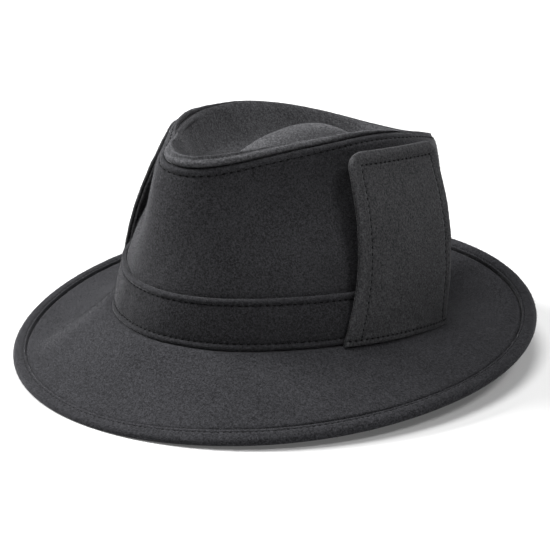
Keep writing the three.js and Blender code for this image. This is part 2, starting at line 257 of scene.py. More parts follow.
@dataclass(frozen=True)
class CrownShape:
    """The crown's outer face. Place runs from 0 at the break to 1 at the crest and 2 at the dome's middle."""

    head: HeadLine = HeadLine()
    wall: float = 2.6
    crest_height: float = 100.1
    crest_side_rise: float = 6.9
    crest_front_dip: float = 1.5
    crest_half_width: float = 49.9
    crest_half_length: float = 96.0
    crest_taper: float = 0.19
    crest_shift: float = 4.0
    side_swell: float = 4.0
    seam_turn: float = 6.0
    belly: float = 9.0
    pinch: float = 8.0
    hollow: float = 26.0
    dome_rise: float = 2.6
    dome_setback: float = 9.5
    dome_fall: float = 26.0
    dome_half_width: float = 30.0
    dome_half_length: float = 66.0
    dome_blend: float = 6.0
    seam_shift: float = 5.0

    around: tuple = (0, 20, 35, 50, 66, 85, 110, 145, 180)
    belly_around: tuple = (0.15, 0.25, 0.4, 0.6, 0.85, 1.0, 0.85, 0.45, 0.4)
    pinch_around: tuple = (0.0, 0.1, 0.45, 0.85, 1.0, 0.6, 0.1, 0.0, 0.0)
    hollow_around: tuple = (0.95, 1.0, 1.0, 0.95, 0.9, 0.85, 0.8, 0.75, 0.7)
    seam_around: tuple = (-1.2, -1.15, -0.95, -0.65, -0.4, -0.1, 0.1, 0.2, 0.2)
    heights: tuple = (0, 0.14, 0.28, 0.42, 0.55, 0.68, 0.8, 0.9, 0.96, 1.0)
    belly_up: tuple = (0.0, 0.3, 0.55, 0.75, 0.9, 1.0, 1.0, 0.85, 0.55, 0.0)
    pinch_up: tuple = (0.0, 0.0, 0.0, 0.2, 0.65, 1.0, 0.9, 0.45, 0.12, 0.0)
    swell_up: tuple = (0.0, 0.0, 0.05, 0.2, 0.4, 0.7, 0.95, 0.9, 0.2, 0.0)
    press_around: tuple = (-180, -110, -90, -66, -50, -34, -20, 0, 180)
    press: tuple = (0.0, 0.0, 0.4, 1.0, 0.25, -0.7, -0.25, 0.0, 0.0)
    press_swell: tuple = (0.0, 0.0, 0.0, 0.0, 0.25, 1.0, 0.7, 0.0, 0.0)
    press_seam: tuple = (0.0, 0.0, 0.2, 0.65, 0.75, 0.75, 0.15, 0.0, 0.0)
    insets: tuple = (0.0, 0.06, 0.14, 0.25, 0.38, 0.52, 0.68, 0.84, 1.0)
    drops: tuple = (0.0, 0.12, 0.48, 0.86, 1.0, 1.0, 1.0, 1.0, 1.0)

    def crest(self, angle: Array) -> Array:
        """Finds the crest, the crown's highest line.

        Args:
            angle: angles around the hat.

        Returns:
            Its points in the upright crown's frame.
        """
        cosine = np.cos(angle)
        x = self.crest_half_width * (1 - self.crest_taper * cosine) * np.sin(angle)
        y = -self.crest_half_length * cosine
        z = self.crest_height - self.crest_side_rise * np.cos(2 * angle) - self.crest_front_dip * cosine
        shift = self.crest_shift * self._pressed(angle, self.press)
        return lifted(np.stack([x, y, z], -1), self.head.outward(angle), shift)

    def _pressed(self, angle: Array, shares: tuple) -> Array:
        """A share of what pressing the front right of the crown by hand changed there."""
        return Curve(self.press_around, shares)(np.degrees(wrapped(angle)))

    def upright(self, angle: Array, place: Array) -> Array:
        """Points of the outer face in the upright crown's frame.

        Args:
            angle: angles around the hat.
            place: places on the face, an array of the same shape.

        Returns:
            The points.
        """
        front = front_degrees(angle)
        crest = self.crest(angle)
        low = np.clip(place, 0, 1)
        belly = self.belly * Curve(self.around, self.belly_around)(front)
        pinch = self.pinch * Curve(self.around, self.pinch_around)(front)
        swell = self.side_swell * self._pressed(angle, self.press_swell)
        out = belly * Curve(self.heights, self.belly_up)(low)
        out = out - pinch * Curve(self.heights, self.pinch_up)(low)
        out = out + swell * Curve(self.heights, self.swell_up)(low)
        side = blend(self.head.upright(angle), crest, low)
        side = lifted(side, self.head.outward(angle), out)
        inset = np.clip(place - 1, 0, 1)
        hollow = self.hollow * Curve(self.around, self.hollow_around)(front)
        drop = hollow * Curve(self.insets, self.drops)(inset)
        x = crest[..., 0] * (1 - inset)
        y = crest[..., 1] * (1 - inset) + self.dome_setback * inset
        floor = crest[..., 2] - drop
        spread = (x / self.dome_half_width) ** 2 + ((y - self.dome_setback) / self.dome_half_length) ** 2
        dome = self.crest_height + self.dome_rise - self.dome_fall * spread
        z = (floor + dome + np.hypot(floor - dome, self.dome_blend * (1 - inset))) / 2
        return np.where((place <= 1)[..., None], side, np.stack([x, y, z], -1))

    def face(self, place: Array) -> Array:
        """Points of the outer face on the resting hat, for rows of places around the hat."""
        return self.head.placed(self.upright(np.broadcast_to(angles(), place.shape), place))

    def seam(self, angle: Array) -> Array:
        """Finds the seam between the side and the tip.

        Args:
            angle: angles around the hat.

        Returns:
            Its places on the face.
        """
        front = front_degrees(angle)
        turn = self.seam_turn * self._pressed(angle, self.press_seam)
        shift = self.seam_shift * Curve(self.around, self.seam_around)(front) + turn
        return 1 + np.where(shift < 0, shift / self.crest_height, shift / self.crest_half_width)

    def rows(self, start: Array, end: Array, near: Sequence[float], shares: Sequence[float]) -> Array:
        """Places at true distances from a start line.

        Args:
            start: the start line's place for each angle.
            end: the end line's place for each angle.
            near: distances from the start line in millimetres.
            shares: shares of the rest of the way to the end line.

        Returns:
            A row of places for each distance and share.
        """
        samples = 500
        t = np.linspace(0, 1, samples)[:, None]
        place = start * (1 - t) + end * t
        steps = np.linalg.norm(np.diff(self.face(place), axis=0), axis=-1)
        lengths = np.vstack([np.zeros(STEPS_AROUND), np.cumsum(steps, axis=0)])
        rows = []
        for i in range(STEPS_AROUND):
            total = lengths[-1, i]
            last = near[-1]
            wanted = [*near, *[last + (total - last) * share for share in shares]]
            rows.append(np.interp(wanted, lengths[:, i], place[:, i]))
        return np.array(rows).T


@dataclass(frozen=True)
class BrimShape:
    """The brim's middle surface, from its edge in to the head opening."""

    head: HeadLine = HeadLine()
    half_width: float = 142.9
    front_reach: float = 155.4
    back_reach: float = 139.4
    edge_height: float = 13.2
    sweep: float = 13.0
    side_drop: float = 0.9
    dip: float = 6.5
    thickness: float = 3.4
    clearance: float = 0.3
    seat_out: float = 3.5
    sag_around: tuple = (0, 30, 80, 130, 165, 200, 240, 278, 302, 335, 360)
    sag_shares: tuple = (0.65, -0.1, 0.0, 0.0, -0.2, 0.0, 0.2, 0.5, 1.0, 0.65, 0.65)

    def edge(self, angle: Array) -> Array:
        """Finds the brim's edge.

        Args:
            angle: angles around the hat.

        Returns:
            Its points.
        """
        cosine = np.cos(angle)
        reach = np.where(cosine > 0, self.front_reach, self.back_reach)
        rise = self.edge_height - self.sweep * cosine + self.side_drop * np.cos(2 * angle)
        return np.stack([self.half_width * np.sin(angle), -reach * cosine + self.head.forward, rise], -1)

    def seat(self, angle: Array, out: float) -> Array:
        """Finds a line of the brim beside or under the crown.

        Args:
            angle: angles around the hat.
            out: how far it lies out from the crown's felt.

        Returns:
            Its points.
        """
        points = self.head.placed(self.head.upright(angle, out))
        points[..., 2] -= self.clearance + self.thickness / 2
        return points

    def middle(self, angle: Array, share: Array) -> Array:
        """Points of the middle surface.

        Args:
            angle: angles around the hat.
            share: 0 beside the band to 1 at the edge, an array of the same shape.

        Returns:
            The points.
        """
        points = blend(self.seat(angle, self.seat_out), self.edge(angle), share)
        sag = self.dip * Curve(self.sag_around, self.sag_shares)(np.degrees(angle) % 360)
        points[..., 2] -= sag * 4 * share * (1 - share)
        return points


@dataclass(frozen=True)
class FlapShape:
    """A left ear flap's middle surface. Across runs from front to back, up from the foot to the top."""

    head: HeadLine = HeadLine()
    height: float = 101.2
    top_slope: float = 3.9
    front_angle: float = 64.5
    back_angle: float = 113.0
    top_front_angle: float = 70.5
    top_back_angle: float = 100.0
    top_half_width: float = 66.3
    top_half_length: float = 141.0
    top_setback: float = 11.8
    belly: float = 6.2
    corner: float = 8.0
    thickness: float = 4.2
    foot_out: float = 7.0
    drop: float = 0.0
    waist: float = 0.0

    @property
    def top_width(self) -> float:
        """The flap's width along its top edge."""
        return self.top_half_length * math.radians(self.top_back_angle - self.top_front_angle)

    def middle(self, across: Array, up: Array) -> Array:
        """Points of the middle surface on the resting hat.

        Args:
            across: 0 at the front edge to 1 at the back.
            up: 0 at the foot to 1 at the top.

        Returns:
            The points.
        """
        depth = self.thickness / 2
        across = across + self.waist / self.top_width * np.sin(np.pi * up) * (1 - across)
        foot = np.radians(self.front_angle + (self.back_angle - self.front_angle) * across)
        top = np.radians(self.top_front_angle + (self.top_back_angle - self.top_front_angle) * across)
        way = self.head.outward(foot)
        rise = self.height - self.drop + self.top_slope * (across - 0.5)
        x = self.top_half_width * np.sin(top)
        y = self.top_setback - self.top_half_length * np.cos(top)
        upper = np.stack([x, y, rise], -1) - way * depth
        lower = self.head.upright(foot, self.foot_out - depth)
        belly = self.belly * np.sin(np.pi * up)
        return self.head.placed(lifted(blend(lower, upper, up), way, belly))


class FeltBody:
    """A closed body of felt, made from a flat grid rolled into shape."""

    def __init__(self, name: str, closed: bool) -> None:
        """Starts an empty body, closed where its rows are whole rings."""
        self.name = name
        self.closed = closed

    def _profiles(self, outer: Array, inner: Array) -> Array:
        """Joins the rows of both faces to closed profiles.

        Args:
            outer: the outer face's rows.
            inner: the inner face's rows, the nearest to the last outer row first.

        Returns:
            A profile for each step around the hat.
        """
        profiles = np.concatenate([outer, inner]).swapaxes(0, 1)
        if self.closed:
            profiles = np.concatenate([profiles, profiles[:1]])
        return np.concatenate([profiles, profiles[:, :1]], axis=1)

    def build(self, outer: Array, inner: Array, painted_darkness: Array, painted_brightness: Array) -> bpy.types.Object:
        """Rolls a grid into shape. Its nap, its painted shade and its painted highlight are on the outer face
        only.

        Args:
            outer: rows of points of the outer face.
            inner: the same rows on the inner face.
            painted_darkness: painted shade, how much it darkens the outer face in its grooves, creases and
                stitch lines.
            painted_brightness: painted highlight, how much it lightens the outer face on its folds and rolls.

        Returns:
            The new object.
        """
        points = self._profiles(outer, inner[::-1])
        still = np.zeros_like(painted_darkness)
        # The painted shade and the painted highlight go to the material as mesh attributes.
        marks = {"painted_shade": painted_darkness, "edge": painted_brightness, "nap": still + 1}
        marks = {name: self._profiles(values, still) for name, values in marks.items()}
        rows, columns = points.shape[0] - 1, points.shape[1] - 1
        bm = bmesh.new()
        bmesh.ops.create_grid(bm, x_segments=rows, y_segments=columns, size=1.0)
        layers = {name: bm.verts.layers.float.new(name) for name in marks}
        for vert in bm.verts:
            i = round((vert.co.x + 1) / 2 * rows)
            j = round((vert.co.y + 1) / 2 * columns)
            vert.co = Vector(points[i, j]) * MM
            for name, layer in layers.items():
                vert[layer] = float(marks[name][i, j])
        bmesh.ops.remove_doubles(bm, verts=bm.verts[:], dist=WELD)
        bmesh.ops.dissolve_degenerate(bm, edges=bm.edges[:], dist=SLIVER)
        return finished(bm, self.name)


def added(name: str, data: bpy.types.ID) -> bpy.types.Object:
    """Adds an object to the scene.

    Args:
        name: the object's name.
        data: its mesh, light or camera.

    Returns:
        The new object, at the origin.
    """
    made = bpy.data.objects.new(name, data)
    bpy.context.scene.collection.objects.link(made)
    return made


def finished(bm: bmesh.types.BMesh, name: str, shade_smooth: bool = True) -> bpy.types.Object:
    """Turns a bmesh into an object, its faces looking outward.

    Args:
        bm: the mesh, in metres.
        name: the object's name.
        shade_smooth: whether its faces are shaded smooth.

    Returns:
        The new object.
    """
    if bm.calc_volume(signed=True) < 0:
        bmesh.ops.reverse_faces(bm, faces=bm.faces[:])
    for face in bm.faces:
        face.smooth = shade_smooth
    mesh = bpy.data.meshes.new(name)
    bm.to_mesh(mesh)
    bm.free()
    return added(name, mesh)


@dataclass
class Stitches:
    """Rows of stitches, each a short thread lying along a line."""

    pitch: float
    length: float
    width: float
    height: float
    paths: list = field(default_factory=list)

    def along(self, points: Array, normals: Array, closed: bool = False) -> None:
        """Adds stitches along a line.

        Args:
            points: the line's points in millimetres.
            normals: directions out of the felt there.
            closed: whether the line is a ring.
        """
        if closed:
            points = np.vstack([points, points[:1]])
            normals = np.vstack([normals, normals[:1]])
        steps = np.linalg.norm(np.diff(points, axis=0), axis=-1)
        lengths = np.concatenate([[0], np.cumsum(steps)])
        count = max(int(round(lengths[-1] / self.pitch)), 1)
        for i in range(count):
            middle = (i + 0.5) * lengths[-1] / count
            places = [middle - 0.5 * self.length, middle, middle + 0.5 * self.length]
            thread = [self._at(lengths, points, place) for place in places]
            self.paths.append([*thread, self._at(lengths, normals, middle)])

    @staticmethod
    def _at(lengths: Array, values: Array, place: float) -> Array:
        """Reads a vector at a length along the line."""
        return np.array([np.interp(place, lengths, values[:, k]) for k in range(3)])

    def build(self, name: str) -> bpy.types.Object:
        """Makes all the stitches as one mesh.

        Args:
            name: the object's name.

        Returns:
            The new object.
        """
        bm = bmesh.new()
        for start, middle, end, out in self.paths:
            ahead = Vector(end - start).normalized()
            up = Vector(out).normalized()
            aside = ahead.cross(up).normalized()
            up = aside.cross(ahead)
            sides = Matrix((aside * self.width / 2, ahead * self.length / 2, up * self.height))
            turn = sides.transposed().to_4x4()
            place = Matrix.Translation(Vector(middle) * MM) @ Matrix.Scale(MM, 4) @ turn
            bmesh.ops.create_uvsphere(bm, u_segments=6, v_segments=4, radius=1.0, matrix=place)
        return finished(bm, name)


class Socket:
    """A value in a material, on which sums and products add Math nodes."""

    def __init__(self, tree: bpy.types.NodeTree, socket: bpy.types.NodeSocket) -> None:
        """Wraps an output socket."""
        self.tree = tree
        self.socket = socket

    def _math(self, operation: str, first: "Socket | float", second: "Socket | float") -> "Socket":
        """Adds a Math node on two values."""
        return node(self.tree, "ShaderNodeMath", {"operation": operation}, {0: first, 1: second})

    def __add__(self, other: "Socket | float") -> "Socket":
        """Adds."""
        return self._math("ADD", self, other)

    __radd__ = __add__

    def __mul__(self, other: "Socket | float") -> "Socket":
        """Multiplies."""
        return self._math("MULTIPLY", self, other)

    __rmul__ = __mul__

    def __sub__(self, other: "Socket | float") -> "Socket":
        """Takes away."""
        return self._math("SUBTRACT", self, other)

    def __rsub__(self, other: "Socket | float") -> "Socket":
        """Takes this value away from another."""
        return self._math("SUBTRACT", other, self)

    def at_least(self, low: float) -> "Socket":
        """Keeps the value from falling below a number."""
        return self._math("MAXIMUM", self, low)

    def clamped(self) -> "Socket":
        """Keeps the value between 0 and 1."""
        return node(self.tree, "ShaderNodeClamp", {}, {"Value": self})


def fill(tree: bpy.types.NodeTree, made: bpy.types.Node, values: dict) -> None:
    """Sets a node's sockets.

    Args:
        tree: the node's tree.
        made: the node.
        values: numbers, colours or links, by the socket's name or place.
    """
    for name, value in values.items():
        if isinstance(value, Socket):
            tree.links.new(value.socket, made.inputs[name])
        else:
            made.inputs[name].default_value = value


def node(tree: bpy.types.NodeTree, kind: str, settings: dict, values: dict, output: int | str = 0) -> Socket:
    """Adds a node of any kind.

    Args:
        tree: the tree that it is added to.
        kind: the node's type.
        settings: the node's own settings, set first.
        values: numbers, colours or links, by the socket's name or place.
        output: the output that is read.

    Returns:
        That output.
    """
    made = tree.nodes.new(kind)
    for name, value in settings.items():
        setattr(made, name, value)
    fill(tree, made, values)
    return Socket(tree, made.outputs[output])


def painted(name: str) -> tuple[bpy.types.Material, bpy.types.Node]:
    """A new material with its shader.

    Args:
        name: the material's name.

    Returns:
        The material and the shader in it.
    """
    made = bpy.data.materials.new(name)
    made.use_nodes = True
    return made, made.node_tree.nodes["Principled BSDF"]


@dataclass(frozen=True)
class FeltFinish:
    """Brushed wool felt: a fine uneven grain, soft cloudy patches and a sheen where it turns away, darkened
    by painted shade in grooves and lightened by painted highlight on folds.

    The clouds are the patches, the tufts, the grain and the finest grain, each by its scale and its detail.
    """

    name: str
    colour: Triple
    painted_shade_colour: Triple = (0.0025, 0.0025, 0.003)
    clouds: tuple = ((40, 2), (560, 1), (1050, 1), (2300, 1))
    patch: float = 0.4
    tuft: float = 0.9
    grain: float = 2.3
    fine: float = 1.6
    darkest: float = 0.5
    painted_highlight_gain: float = 0.6
    bump: float = 0.6
    bump_depth: float = 0.0004
    gloss: float = 0.1
    sheen: float = 0.2
    sheen_roughness: float = 0.25
    sheen_tint: Triple = (0.9, 0.9, 0.94)

    def material(self) -> bpy.types.Material:
        """Makes the material.

        Returns:
            The new material.
        """
        made, shader = painted(self.name)
        tree = made.node_tree
        place = node(tree, "ShaderNodeTexCoord", {}, {}, "Object")
        patches, tufts, grain, fine = [
            node(tree, "ShaderNodeTexNoise", {}, {"Vector": place, "Scale": scale, "Detail": detail})
            for scale, detail in self.clouds
        ]
        shade = 1 + self.patch * (patches - 0.5) + self.tuft * (tufts - 0.5)
        shade = shade + self.grain * (grain - 0.5) + self.fine * (fine - 0.5)
        shade = shade.at_least(self.darkest)
        # Painted highlight: the edge attribute lightens the colour on folds and rolls, where light catches
        # them.
        edge = node(tree, "ShaderNodeAttribute", {"attribute_name": "edge"}, {}, "Fac")
        # Painted shade: this attribute mixes the colour towards near-black in grooves, creases and stitch
        # lines, where shade falls.
        painted_shade = node(tree, "ShaderNodeAttribute", {"attribute_name": "painted_shade"}, {}, "Fac")
        shade = shade * (1 + self.painted_highlight_gain * edge)
        body = node(tree, "ShaderNodeVectorMath", {"operation": "SCALE"}, {0: self.colour, "Scale": shade})
        shares = {0: painted_shade.clamped(), 6: body, 7: (*self.painted_shade_colour, 1)}
        bump = {"Height": grain + fine, "Strength": self.bump, "Distance": self.bump_depth}
        fill(tree, shader, {
            "Base Color": node(tree, "ShaderNodeMix", {"data_type": "RGBA"}, shares, 2),
            "Normal": node(tree, "ShaderNodeBump", {}, bump),
            "Roughness": 1.0,
            "Specular IOR Level": self.gloss,
            "Sheen Weight": self.sheen,
            "Sheen Roughness": self.sheen_roughness,
            "Sheen Tint": (*self.sheen_tint, 1),
        })
        return made


@dataclass(frozen=True)
class ThreadFinish:
    """Dull sewing thread or loose wool fibres, uneven in shade."""

    name: str
    colour: Triple
    roughness: float = 0.8
    gloss: float = 0.1
    uneven: float = 0.9
    twist: float = 900.0

    def material(self) -> bpy.types.Material:
        """Makes the material.

        Returns:
            The new material.
        """
        made, shader = painted(self.name)
        tree = made.node_tree
        place = node(tree, "ShaderNodeTexCoord", {}, {}, "Object")
        twist = node(tree, "ShaderNodeTexNoise", {}, {"Vector": place, "Scale": self.twist, "Detail": 2.0})
        shade = 1 + self.uneven * (2 * twist - 1)
        fill(tree, shader, {
            "Base Color": node(tree, "ShaderNodeVectorMath", {"operation": "SCALE"},
                               {0: self.colour, "Scale": shade}),
            "Roughness": self.roughness,
            "Specular IOR Level": self.gloss,
        })
        return made


class Strand(Enum):
    """What is finer than felt: the sewing thread and the felt's loose fibres."""

    THREAD = ThreadFinish("sewing_thread", (0.0015, 0.0015, 0.0018))
    FIBRE = ThreadFinish("wool_fibre", (0.05, 0.05, 0.054))


class Felt(Enum):
    """The felts of the hat, one for each kind of felt piece."""

    CROWN = FeltFinish("crown_felt", (0.0205, 0.0205, 0.0223))
    # Painted light: the tip's felt is lighter than the crown's to stand in for the light that falls on the
    # dome and the hollow.
    TIP = FeltFinish("tip_felt", (0.045, 0.045, 0.0478))
    BRIM = FeltFinish("brim_felt", (0.0185, 0.0185, 0.0205))
    BAND = FeltFinish("band_felt", (0.0165, 0.0165, 0.018))
    # Painted light: the flaps' felt is lighter than the crown's to stand in for the light that falls on them.
    FLAP = FeltFinish("flap_felt", (0.034, 0.034, 0.0357))


@dataclass
class Nap:
    """The felt's loose fibres, short thin spikes that lie over its outer face."""

    radius: float = 0.075
    length: float = 1.1
    lean: tuple[float, float] = (0.5, 1.35)
    sizes: tuple[float, float] = (0.5, 1.25)
    seed: int = 7

    def group(self, density: float) -> bpy.types.NodeTree:
        """Makes the node group that sets fibres on a mesh.

        Args:
            density: fibres for each square metre where the mesh's nap attribute is 1.

        Returns:
            The new node group.
        """
        tree = bpy.data.node_groups.new("nap", "GeometryNodeTree")
        tree.interface.new_socket("Felt", in_out="INPUT", socket_type="NodeSocketGeometry")
        tree.interface.new_socket("Fibres", in_out="OUTPUT", socket_type="NodeSocketGeometry")
        felt = node(tree, "NodeGroupInput", {}, {})
        nap = node(tree, "GeometryNodeInputNamedAttribute", {"data_type": "FLOAT"}, {"Name": "nap"})
        points = node(tree, "GeometryNodeDistributePointsOnFaces", {"distribute_method": "RANDOM"},
                      {"Mesh": felt, "Density": nap * density, "Seed": self.seed})
        upright = Socket(tree, points.socket.node.outputs["Rotation"])
        fibre = node(tree, "GeometryNodeMeshCone", {"fill_type": "NGON"}, {
            "Vertices": 3, "Radius Top": 0.0, "Radius Bottom": self.radius * MM, "Depth": self.length * MM})
        turn = node(tree, "FunctionNodeRandomValue", {"data_type": "FLOAT_VECTOR"}, {
            "Min": (self.lean[0], 0, 0), "Max": (self.lean[1], 0, 2 * math.pi), "Seed": self.seed})
        laid = node(tree, "FunctionNodeRotateRotation", {"rotation_space": "LOCAL"},
                    {"Rotation": upright, "Rotate By": turn})
        size = node(tree, "FunctionNodeRandomValue", {"data_type": "FLOAT"}, {
            2: self.sizes[0], 3: self.sizes[1], "Seed": self.seed + 1}, 1)
        spread = node(tree, "GeometryNodeInstanceOnPoints", {}, {
            "Points": points, "Instance": fibre, "Rotation": laid, "Scale": size})
        real = node(tree, "GeometryNodeRealizeInstances", {}, {"Geometry": spread})
        out = tree.nodes.new("NodeGroupOutput")
        tree.links.new(real.socket, out.inputs[0])
        return tree

    def build(self, felt: bpy.types.Object, count: int) -> bpy.types.Object:
        """Sets fibres on a piece of felt.

        Args:
            felt: the piece, whose nap attribute is 1 where it shows.
            count: how many fibres it gets.

        Returns:
            The fibres as one mesh.
        """
        shares = felt.data.attributes["nap"].data
        area = sum(face.area * min(shares[i].value for i in face.vertices) for face in felt.data.polygons)
        carrier = added("carrier", felt.data)
        modifier = carrier.modifiers.new("nap", "NODES")
        modifier.node_group = self.group(count / area)
        shown = carrier.evaluated_get(bpy.context.evaluated_depsgraph_get())
        mesh = bpy.data.meshes.new_from_object(shown)
        mesh.materials.clear()
        name = f"{felt.name}_nap"
        mesh.name = name
        bpy.data.objects.remove(carrier)
        return added(name, mesh)


class Workshop:
    """Finishes and hands over pieces."""

    def __init__(self) -> None:
        """Makes every material once."""
        self.finishes = {finish: finish.value.material() for finish in (*Felt, *Strand)}

    def hand_over(self, piece: bpy.types.Object, felt: Felt, *nodes: str, nap: int = 0) -> None:
        """Dresses a piece of felt and hides the solids that it replaces.

        Args:
            piece: the new piece.
            felt: its felt.
            nodes: the solids that it replaces.
            nap: how many loose fibres lie on it.
        """
        self._dress(piece, felt)
        if nodes:
            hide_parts(*nodes)
        if nap:
            self._dress(Nap().build(piece, nap), Strand.FIBRE)

    def sew(self, name: str, stitches: Stitches) -> None:
        """Makes the stitches on a felt and dresses them in sewing thread."""
        self._dress(stitches.build(name), Strand.THREAD)

    def _dress(self, piece: bpy.types.Object, finish: Felt | Strand) -> None:
        """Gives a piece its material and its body.

        Args:
            piece: the piece.
            finish: its own material.
        """
        piece.data.materials.append(self.finishes[finish])
        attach(piece, BODY)
        log.info("%s: %d faces", piece.name, len(piece.data.polygons))


@dataclass
class Crown:
    """The crown's side and tip, sewn together along a turned seam."""

    shape: CrownShape = CrownShape()
    seam_gap: float = 0.15
    near: tuple = (0.35, 0.6, 0.9, 1.2, 1.6, 2.1, 2.7, 3.2, 3.6, 4.0, 4.4, 4.8, 5.2, 5.8, 6.6, 7.8, 9.4, 11.4)
    far_rows: int = 38
    side_fibres: int = 33500
    tip_fibres: int = 19000
    swells: tuple[Waves, ...] = (Waves(0.35, 30, 3.0), Waves(0.08, 7, 9.0))
    seam_round: float = 1.5
    stitch_line: float = 4.4
    stitch_depth: float = 0.45
    line_width: float = 0.7
    # The next four fields set painted shade along the stitch line and in the seam's groove, and a painted
    # highlight on the roll beside the seam.
    line_painted_shade: float = 0.12
    painted_shade_edge: float = 1.15
    painted_shade_width: float = 0.8
    painted_highlight: Ridge = Ridge(0.3, 2.2, 1.2)
    roll: float = 0.7
    tip_roll: float = 1.2
    fade: float = 0.85
    fade_from: float = 92.0
    fade_over: float = 25.0
    far_fade: float = 0.95
    far_fade_from: float = 58.0
    far_fade_over: float = 16.0
    crossing: float = -38.0
    crossing_fade: float = 0.85
    crossing_width: float = 12.0

    def _seam_strength(self, angle: Array) -> Array:
        """How plainly the seam shows. It fades behind, on the far side and where it crosses the crest.

        Args:
            angle: angles around the hat.

        Returns:
            1 where it is plain, less where it is pressed flat.
        """
        turn = np.degrees(wrapped(angle))
        near = self.fade * smooth((turn - self.fade_from) / self.fade_over)
        far = self.far_fade * smooth((-turn - self.far_fade_from) / self.far_fade_over)
        return 1 - near - far - self.crossing_fade * hump(turn - self.crossing, self.crossing_width)

    def _distance(self, place: Array) -> Array:
        """Measures along the crown's face.

        Args:
            place: rows of places, the first beside the seam.

        Returns:
            Their distances from the seam.
        """
        steps = np.linalg.norm(np.diff(self.shape.face(place), axis=0), axis=-1)
        return self.seam_gap + np.vstack([np.zeros(STEPS_AROUND), np.cumsum(steps, axis=0)])

    def _felt(self, name: str, place: Array, distance: Array, stitched: bool) -> tuple:
        """Works out one panel.

        Args:
            name: the panel's name.
            place: rows of places on the crown's face.
            distance: rows of distances from the seam.
            stitched: whether a row of stitches runs beside the seam.

        Returns:
            The object, the outer points and their normals.
        """
        face = self.shape.face(place)
        square = squares(face, True)
        shown = self._seam_strength(angles())
        rise = uneven(face, self.swells)
        line = shown * hump(distance - self.stitch_line, self.line_width) * stitched
        roll = (self.roll if stitched else self.tip_roll) * arch(distance, self.stitch_line)
        turned = roll - rounded(distance, self.seam_round) - self.stitch_depth * line
        outer = lifted(face, square, rise + shown * turned)
        inner = lifted(face, square, rise - self.shape.wall)
        # Painted shade darkens the seam's groove and the stitch line; a painted highlight lightens the roll
        # between them.
        painted_shade = np.clip(self.painted_shade_edge - distance / self.painted_shade_width, 0, 1)
        painted_darkness = shown * painted_shade + self.line_painted_shade * line
        painted_brightness = shown * self.painted_highlight(distance)
        return FeltBody(name, True).build(outer, inner, painted_darkness, painted_brightness), outer, square

    def build(self, shop: Workshop) -> None:
        """Makes both panels and the stitches between them.

        Args:
            shop: takes the finished pieces.
        """
        seam = self.shape.seam(angles())
        near = [self.seam_gap, *self.near]
        shares = list(np.linspace(0, 1, self.far_rows)[1:])
        for name, end, felt, fibres in (
            ("crown_side", 0.0, Felt.CROWN, self.side_fibres),
            ("crown_tip", 2.0, Felt.TIP, self.tip_fibres),
        ):
            place = self.shape.rows(seam, np.full_like(seam, end), near, shares)
            distance = self._distance(place)
            stitched = felt is Felt.CROWN
            if stitched:
                place, distance = place[::-1], distance[::-1]
            piece, outer, square = self._felt(f"{name}_felt", place, distance, stitched)
            shop.hand_over(piece, felt, name, nap=fibres)
            if stitched:
                row = nearest(distance[:, 0], self.stitch_line)
                stitches = Stitches(pitch=3.9, length=2.2, width=1.2, height=0.5)
                stitches.along(outer[row], square[row], closed=True)
                shop.sew("crown_stitches", stitches)


